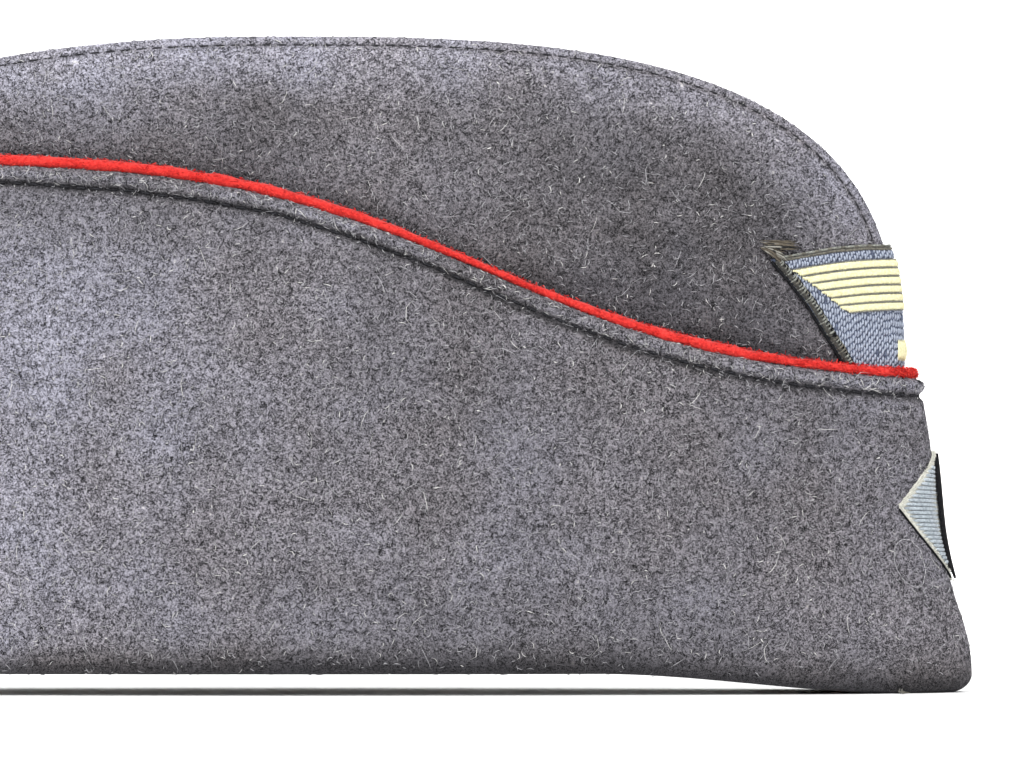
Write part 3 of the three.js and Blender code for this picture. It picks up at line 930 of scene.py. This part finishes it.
def field_bars():
    """Plain straight bars of upright satin stitch, one above another, cut off along the field's slant."""
    draw = np.random.default_rng(302)
    rows = []
    for bar in range(FIELD_BARS):
        low, top = FIELD_LOW + bar * BAR_PITCH + 0.05, FIELD_LOW + (bar + 1) * BAR_PITCH - 0.05
        reach = half_at(top, FIELD_SLANT) - 0.2
        for d in np.arange(-reach, reach, 0.34):
            wander = draw.normal(0, 0.03, 2)
            foot = min(max(low, foot_at(abs(d), FIELD_SLANT) + 3 * wander[0]), top - 0.5)
            rows.append((d, foot + wander[0], d + 0.12, top + wander[1]))
    return sewn("patch_field_satin", rows, PATCH_OUT + 0.72, 0.26, [CREAM], 0.16, place=drooped)


def field_lines():
    """Thin dark lines of thread between the bars."""
    paths = []
    for bar in range(FIELD_BARS + 1):
        z = FIELD_LOW + bar * BAR_PITCH
        reach = half_at(z, FIELD_SLANT) - (0.1 if bar else 0.6)
        d = np.linspace(-reach, reach, 160)
        paths.append(drooped(d, z + 0.06 * ripple(d, d * 0 + z, 9.0, 310 + bar), PATCH_OUT + 0.93))
    return tube("patch_field_lines", paths, 0.10, [DARK_LINE], 6)


def small_block():
    """A small plain block of satin stitch low on the middle of the patch."""
    low = PATCH_LOW + 0.6
    rows = [(d, low, d + 0.2, low + 4.4) for d in np.arange(-2.9, 2.9, 0.33)]
    return sewn("patch_field_block", rows, PATCH_OUT + 0.75, 0.25, [CREAM], 0.2)


def slanted_border(side, word):
    """Dark overcasting down one edge: a cord between two black tubes of painted shadow, and stitches wound
    across it.
    """
    draw = np.random.default_rng(320 + side)
    z = np.linspace(PATCH_TOP - 0.4, PATCH_LOW + 0.2, 300)
    d = side * (patch_half(z) - 0.55) + 0.15 * ripple(z, z * 0, 5.0, 323 + side)
    cord = tube(f"patch_border_cord_{word}", [drooped(d, z, PATCH_OUT + 0.30)], 0.60, [BORDER_DARK])
    # two black tubes of painted shadow, either side of the cord
    shades = [drooped(d + side * 0.92, z, PATCH_OUT + 0.05), drooped(d - side * 0.92, z, PATCH_OUT + 0.38)]
    shade = tube(f"patch_border_shade_{word}", shades, 0.34, [BLACK])
    walk = walked(np.stack([d, z], axis=1))
    at = np.arange(0.3, walk[-1] - 0.3, 0.78)
    count = len(at)
    at = at + draw.normal(0, 0.10, count)
    d, z = np.interp(at, walk, d), np.interp(at, walk, z)
    reach = side * (0.66 + draw.normal(0, 0.10, count))
    lean = 0.80 + draw.normal(0, 0.16, count)
    index = draw.choice(3, size=count, p=(0.30, 0.50, 0.20))
    rows = np.stack([d + reach, z - lean * 0.7, d - reach, z + lean], axis=1)
    wound = sewn(f"patch_border_{word}", rows, PATCH_OUT + 0.30, draw.uniform(0.15, 0.25, count),
                 [OVERCAST, OVERCAST_PALE, BLACK], 0.98, index, 7, place=drooped)
    return cord, shade, wound


def top_border():
    """Along the top: two dark cords, with a pale one couched over the upper."""
    half = PATCH_TOP_HALF - 0.5
    d = np.linspace(-half, half, 400)
    wave = 0.12 * ripple(d, d * 0, 8.0, 331)
    dark = tube("patch_top_cords", [drooped(d, PATCH_TOP - 0.10 + wave, PATCH_OUT + 0.30),
                                    drooped(d, PATCH_TOP - 0.68 + wave, PATCH_OUT + 0.42)], 0.30, [OVERCAST])
    rows = [(a, PATCH_TOP + np.interp(a, d, wave), a + 2.5, PATCH_TOP + np.interp(a + 2.5, d, wave))
            for a in np.arange(-half + 0.4, half - 2.6, 2.9)]
    pale = sewn("patch_top_couching", rows, PATCH_OUT + 0.55, 0.21, [OVERCAST_PALE], 0.12, None, 7, 8,
                drooped)
    return dark, pale


def corner_threads(side, word):
    """A bundle of loose ends of thread at the patch's upper corner, and shorter ones frayed down its edge."""
    draw = np.random.default_rng(340 + side)
    count = 44
    along = np.array([0.0, 0.33, 0.68, 1.0])
    start = PATCH_TOP_HALF + draw.uniform(0.6, 2.4, count)
    down = draw.random(count) < 0.35
    length = np.where(down, draw.uniform(2.0, 4.0, count), draw.uniform(4.5, 8.0, count))
    fall = np.where(down, draw.uniform(1.5, 3.5, count), 0.3)
    height = np.where(down, PATCH_TOP - 0.6, PATCH_TOP + draw.uniform(-0.6, 0.9, count))
    d = start[:, None] - length[:, None] * along
    z = height[:, None] - fall[:, None] * along + 0.22 * draw.normal(0, 1, (count, 4)).cumsum(axis=1)
    lift = PATCH_OUT + 0.8 + draw.uniform(-0.3, 0.6, (count, 4)) * [0.6, 1.0, 1.0, 0.3]
    return strands(f"patch_loose_threads_{word}", wrapped(side * d, z, lift), 0.17, THREADS,
                   draw.integers(0, len(THREADS), count), 5)


def lozenge_ribs():
    """Level ribs of pale thread across the lozenge, each broken by the dark bar."""
    draw = np.random.default_rng(350)
    rows = []
    for z in np.arange(LOZENGE_LOW + 1.2, LOZENGE_HIGH - 1.0, 0.84):
        reach = float(lozenge_half(z, LOZENGE_EDGE * (0.6 if z > LOZENGE_CORNER else 0.2)))
        for side in (RIGHT, LEFT):
            if reach > BAR_HALF_WIDTH + 0.2:
                end = reach + draw.normal(0, 0.12)
                rows.append((side * (BAR_HALF_WIDTH - 0.5), z, side * end, z + 0.3))
    return sewn("lozenge_field_ribs", rows, LOZENGE_OUT + 0.42, 0.40, [PALE_RIB], 0.15, None, 9, 8)


def lozenge_bar():
    """The dark centre bar: short level stitches with ragged ends."""
    draw = np.random.default_rng(351)
    z = np.arange(LOZENGE_LOW + 0.6, LOZENGE_HIGH - 0.5, 0.36)
    reach = np.minimum(BAR_HALF_WIDTH, lozenge_half(z)) + draw.normal(0, 0.14, len(z))
    rows = np.stack([-reach, z, reach, z + 0.1], axis=1)
    return sewn("lozenge_bar_satin", rows, LOZENGE_OUT + 0.62, 0.27, [BLACK], 0.25, None, 9, 6)


def lozenge_edge():
    """Ivory overcasting across the lozenge's upper sides, and a few stitches of it across the lower ones."""
    draw = np.random.default_rng(352)
    z = np.arange(LOZENGE_LOW, LOZENGE_HIGH, 0.26)
    z = z[(z > LOZENGE_CORNER - 1.0) | (draw.random(len(z)) < 0.3)]
    half, upper = lozenge_half(z), z > LOZENGE_CORNER
    lean = np.where(upper, 0.8, -0.8)
    rows = []
    for side in (RIGHT, LEFT):
        out = np.where(upper, 0.32, 0.10) + draw.normal(0, 0.13, len(z))
        into = np.where(upper, LOZENGE_EDGE, 0.15) + draw.normal(0, 0.14, len(z))
        rows.append(np.stack([side * (half + out), z + lean * out,
                              side * np.maximum(half - into, 0.1), z - lean * into], axis=1))
    return sewn("lozenge_edge_overcast", np.concatenate(rows), LOZENGE_OUT + 0.30, 0.16, [IVORY], 0.24)


def lozenge_shadow_cord():
    """A dark tube of painted shadow under the lozenge's lower edges, where it stands off the cloth."""
    z = np.linspace(LOZENGE_LOW + 0.5, LOZENGE_CORNER - 0.6, 60)
    paths = [wrapped(side * (lozenge_half(z) + 0.35), z, LOZENGE_OUT + 0.02) for side in (RIGHT, LEFT)]
    return tube("lozenge_painted_shadow_cord", paths, 0.22, [BLACK], 6)


def loose_curl():
    """An oval curl of pale fibre that lies on the curtain beside the lozenge."""
    turn = np.linspace(0, 2 * math.pi, 23)[:, None] + np.linspace(0, 0.36, 4)
    wander = 0.25 * ripple(5 * np.cos(turn), 5 * np.sin(turn), 3.0, 361)
    d, z = -10.5 + (3.2 + wander) * np.cos(turn), 26.6 + (4.9 + wander) * np.sin(turn)
    return strands("curtain_loose_curl", wrapped(d, z, CLOTH_OUT + 0.32), 0.11, [FIBRES[2]])


# ---- loose fibres on the wool
# kind, count, shortest and longest, radius, lift, and the shares of each of FIBRES
NAP = (("nap", 16000, (0.6, 2.1), 0.072, 0.22, (6, 2, 7, 0.8)),
       ("hairs", 420, (3.0, 7.0), 0.055, 0.5, (0, 1, 5, 2)),
       ("lint", 90, (0.5, 1.4), 0.13, 0.3, (0, 0, 1, 6)))
LIP_LINT = 900, (0.6, 2.4), 0.065, 0.4, (1, 1, 5, 2)


def face_samples(grid, count, draw, weight):
    """Random places on a grid of points, spread by area times weight, and the normals there."""
    along = grid[1:, :-1] - grid[:-1, :-1]
    up = grid[:-1, 1:] - grid[:-1, :-1]
    normal = np.cross(along, up)
    area = np.linalg.norm(normal, axis=-1)
    share = (area * weight[:-1, :-1]).ravel()
    i, j = np.unravel_index(draw.choice(share.size, size=count, p=share / share.sum()), area.shape)
    a, b = draw.random((2, count, 1))
    return grid[i, j] + a * along[i, j] + b * up[i, j], unit(normal[i, j])


def nap_fibres(name, grid, side, weight, seed, count, length, radius, lift, shares):
    """Curved fibres lying on the cloth, some with an end standing up from it."""
    draw = np.random.default_rng(seed)
    point, normal = face_samples(grid, count, draw, weight)
    normal *= np.where(normal[:, 1:2] * side < 0, -1.0, 1.0)
    first, second = sideways(normal, draw.normal(size=(count, 3)))
    size = draw.uniform(*length, count)[:, None]
    bend_by = draw.normal(0, 0.38, count)[:, None] * size
    stand = (draw.uniform(0.2, 1.0, count) * lift)[:, None]
    tip = stand * draw.uniform(0, 1.6, (count, 1))
    paths = np.stack([
        point - first * size * 0.5 - normal * 0.05,
        point - first * size * 0.18 + second * bend_by * 0.5 + normal * stand * 0.7,
        point + first * size * 0.18 + second * bend_by * 0.45 + normal * stand,
        point + first * size * 0.5 - second * bend_by * 0.2 + normal * tip,
    ], axis=1)
    paths[..., 2] = np.maximum(paths[..., 2], 0.15)
    index = draw.choice(len(shares), size=count, p=np.array(shares) / sum(shares))
    return strands(name, paths, radius * draw.uniform(0.6, 1.25, count), FIBRES, index)


def piping_fuzz(line):
    """Short red fibres standing from the piping."""
    draw = np.random.default_rng(451)
    count = 15000
    k = draw.integers(0, len(line), count)
    along = unit(np.roll(line, -1, axis=0)[k] - line[k])
    across, down = sideways(along, UP)
    a = draw.uniform(0, 2 * math.pi, (count, 1))
    out = across * np.cos(a) - down * np.sin(a)
    point = line[k] + along * draw.uniform(0, 1, (count, 1)) + out * bead_radius(line[k, :1]) * 0.93
    lean = along * draw.normal(0, 0.65, (count, 1)) + np.cross(along, out) * draw.normal(0, 0.50, (count, 1))
    stand = out * (0.05 + 0.55 * draw.random((count, 1)) ** 2)
    paths = np.stack([point - out * 0.05, point + lean * 0.4 + stand * 0.7, point + lean * 0.8 + stand,
                      point + lean * 1.1 + stand * 0.8], axis=1)
    return strands("piping_fuzz", paths, 0.065 * draw.uniform(0.6, 1.2, count), RED_FIBRES,
                   draw.choice(3, size=count, p=(0.55, 0.25, 0.20)))


def hem_thread():
    """A loose end of sewing thread that hangs from the hem near the front and lies where the cap stands."""
    x = 127.8
    path = np.array([[x, -8.6, 1.5], [x - 0.5, -11.2, 0.5], [x + 0.3, -13.0, 0.3], [x + 1.3, -14.2, 0.3]])
    return strands("hem_loose_thread", np.array([path, path + [0.5, 0.4, 0.05]]), 0.2, [OVERCAST], None, 6)


# ---- the pieces, which are cut from cloth
CURTAIN_HEIGHT = EDGE_FRONT + EDGE_RISE - HEM


def bend(obj, slot_name, *nodes):
    """Sets obj's placing into its mesh, and hides the CAD's parts of the given names."""
    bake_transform(obj)
    if nodes:
        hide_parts(*nodes)


for side, word in SIDES:
    crown, crown_grid = crown_panel(side, word)
    curtain, curtain_grid = curtain_outer(side, word)
    sheets = (("crown_panel", crown, "wool_cloth", HEIGHT - HEM, 0.0),
              ("curtain_outer", curtain, "wool_cloth", CURTAIN_HEIGHT + 3 * HEM, CLOTH_OUT),
              ("curtain_facing", curtain_facing(side, word), "wool_facing", CURTAIN_HEIGHT, 2.0),
              ("curtain_interlining", curtain_interlining(side, word), "interlining_canvas",
               CURTAIN_HEIGHT - 4.0, 3.0),
              ("lining", lining(side, word), "lining_cloth", HEIGHT - HEM, -2.0),
              ("sweatband", sweatband(side, word), "sweatband_leather", SWEATBAND_HEIGHT, -3.0))
    for node_name, sheet, slot_name, height, offset in sheets:
        bend(sheet, slot_name, f"{node_name}_{word}")
    bend(ridge_topstitch(side, word), "wool_cloth")
    bend(curtain_topstitch(side, word), "wool_cloth")
    for where, grid, seed in (("crown", crown_grid, 401 + side), ("curtain", curtain_grid, 402 + side)):
        clear = smooth((grid[..., 2] - 3.0) / 6.0)
        for kind, *looks in NAP:
            bend(nap_fibres(f"{where}_{kind}_{word}", grid, side, clear, seed, *looks), "wool_cloth")
            seed += 10
    on_lip = hump(curtain_edge(curtain_grid[..., 0]) - curtain_grid[..., 2], LIP_CENTRE, 1.1)
    lint = nap_fibres(f"curtain_lip_lint_{word}", curtain_grid, side, on_lip, 441 + side, *LIP_LINT)
    bend(lint, "wool_cloth")

bead, bead_line = piping()
bend(bead, "piping_cloth", "piping_right", "piping_left")
bend(piping_fuzz(bead_line), "piping_cloth")
bend(hem_thread(), "wool_cloth")
bend(crown_seam(), "wool_cloth", "crown_ridge_seam")
for sign, word in ((1, "front"), (-1, "rear")):
    bend(curtain_seam(sign, word), "wool_cloth", f"curtain_{word}_seam")

patch = cloth_plate("patch_ground_cloth", PATCH_LOW - 0.6, PATCH_TOP, patch_half, PATCH_OUT - 0.5,
                    PATCH_OUT + 0.3, TWILL_DARK, drooped)
bend(patch, "patch_twill", "patch_ground")
bend(patch_twill(), "patch_twill")
bend(field_bars(), "badge_cream", "patch_field")
bend(field_lines(), "patch_twill")
bend(small_block(), "badge_cream")
for side, word in SIDES:
    for piece in (*slanted_border(side, word), corner_threads(side, word)):
        bend(piece, "patch_twill")
for piece in top_border():
    bend(piece, "patch_twill")

lozenge = cloth_plate("lozenge_ground_cloth", LOZENGE_LOW, LOZENGE_HIGH, lozenge_half, LOZENGE_OUT - 0.5,
                      LOZENGE_OUT + 0.2, IVORY, wrapped)
bend(lozenge, "badge_cream", "lozenge_ground")
bend(lozenge_edge(), "badge_cream")
bend(lozenge_shadow_cord(), "badge_black")
bend(lozenge_ribs(), "lozenge_rib", "lozenge_field")
bend(lozenge_bar(), "badge_black", "lozenge_bar")
bend(loose_curl(), "wool_cloth")


# ---- stage, light and camera, in metres
VIEW_X, VIEW_Y, VIEW_Z = 0.0484, -0.003, 0.0632      # the middle of the view
VIEW_WIDTH = 0.2099                                  # how much of the cap's length it takes in there
CAMERA_DISTANCE = 1.5
SENSOR = 36.0
FLOOR_HALF_WIDTH, FLOOR_FRONT, FLOOR_BACK = 6.0, -4.0, 2.2
BACKDROP_RADIUS, BACKDROP_TOP = 1.2, 5.0
LAMPS = (("key", (-0.45, -0.85, 1.45), (0.03, 0.0, 0.06), 0.7, 30.0),     # name, place, target, size, power
         ("fill", (0.9, -1.2, 0.7), (0.0, 0.0, 0.06), 1.0, 5.0),
         ("back", (0.1, 1.1, 1.3), (0.0, 0.0, 0.08), 1.0, 11.0),
         ("backdrop", (0.0, 1.3, 2.2), (0.0, 3.2, 0.9), 1.5, 130.0))


def floor():
    """A pale floor that curves up into a backdrop far behind."""
    curve = [(FLOOR_BACK + BACKDROP_RADIUS * math.sin(a), BACKDROP_RADIUS * (1 - math.cos(a)))
             for a in np.linspace(0, math.pi / 2, 12)[1:]]
    profile = [(FLOOR_FRONT, 0.0), (FLOOR_BACK, 0.0), *curve, (FLOOR_BACK + BACKDROP_RADIUS, BACKDROP_TOP)]
    verts = [(x / MM, y / MM, z / MM) for y, z in profile for x in (-FLOOR_HALF_WIDTH, FLOOR_HALF_WIDTH)]
    faces = [(2 * n - 2, 2 * n - 1, 2 * n + 1, 2 * n) for n in range(1, len(profile))]
    new_object("floor", verts, faces, [plain_material("floor_paint", (0.92, 0.92, 0.92), 0.8)])


def lamp(name, place, target, size, power):
    data = bpy.data.lights.new(name, "AREA")
    data.shape = "DISK"
    data.size = size
    data.energy = power
    obj = link(bpy.data.objects.new(name, data))
    obj.location = place
    way = np.array(target) - np.array(place)
    tilt = math.acos(-way[2] / np.linalg.norm(way))
    obj.rotation_euler = (tilt, 0.0, math.atan2(way[1], way[0]) - math.pi / 2)


def studio():
    world = bpy.data.worlds.new("studio")
    bpy.context.scene.world = world
    world.use_nodes = True
    feed(world.node_tree, world.node_tree.nodes["Background"], {"Color": (1.0, 1.0, 1.0), "Strength": 0.7})
    for row in LAMPS:
        lamp(*row)
    bpy.context.scene.view_settings.view_transform = "Standard"


def camera():
    data = bpy.data.cameras.new("camera")
    data.sensor_width = SENSOR
    data.lens = SENSOR * CAMERA_DISTANCE / VIEW_WIDTH
    data.clip_end = 30.0
    obj = link(bpy.data.objects.new("camera", data))
    obj.location = (VIEW_X, VIEW_Y - CAMERA_DISTANCE, VIEW_Z)
    obj.rotation_euler = (math.pi / 2, 0.0, 0.0)
    bpy.context.scene.camera = obj


floor()
studio()
camera()
